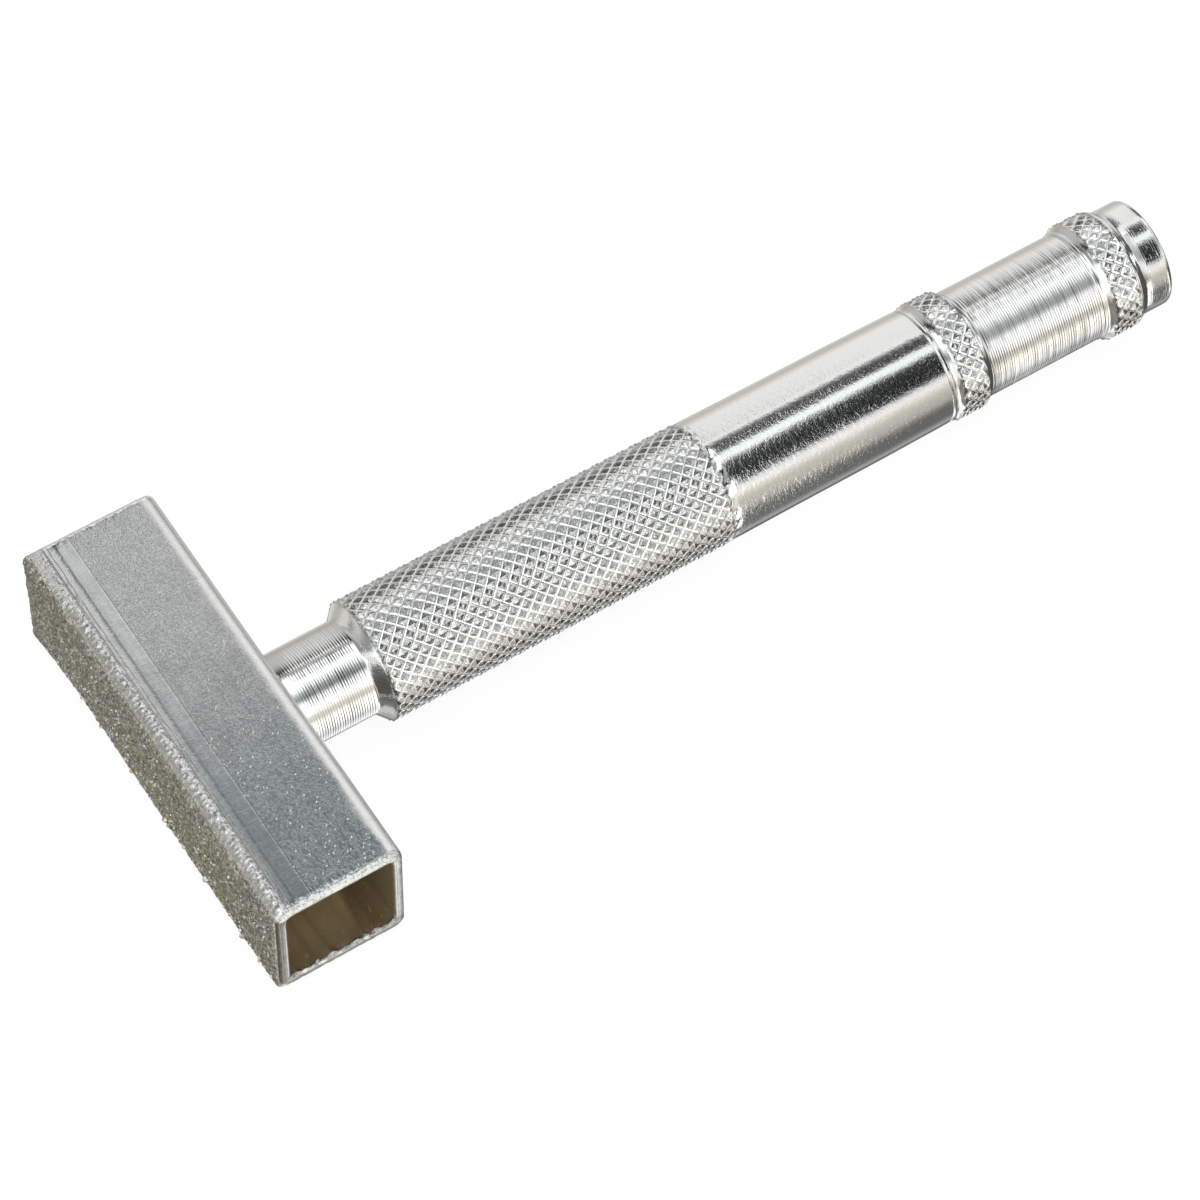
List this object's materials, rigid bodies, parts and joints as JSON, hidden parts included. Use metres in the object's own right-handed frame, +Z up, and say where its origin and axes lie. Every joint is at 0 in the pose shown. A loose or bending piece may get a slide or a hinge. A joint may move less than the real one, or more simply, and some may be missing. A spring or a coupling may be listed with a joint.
{
  "type": "diamond wheel dresser",
  "caption": "Handheld T-shaped dresser for grinding wheels: a square steel tube with a diamond-grit front face, riveted to a turned steel handle with a knurled grip.",
  "frame": {"origin": "middle of the square tube's flat underside, on which the dresser lies", "axes": "+X along the handle from the tube to its end, +Y along the tube, +Z up through the tube's top face"},
  "size_m": [0.1111, 0.045, 0.0137],
  "materials": {
    "plated_tube": "satin zinc plate with a fine speckle",
    "diamond_grit": "rough diamond grit bonded in nickel",
    "bright_steel": "bright nickel plate, turned and knurled"
  },
  "bodies": {
    "root": {"head_tube": "plated_tube", "diamond_coating": "diamond_grit", "handle": "bright_steel"}
  },
  "joints": []
}
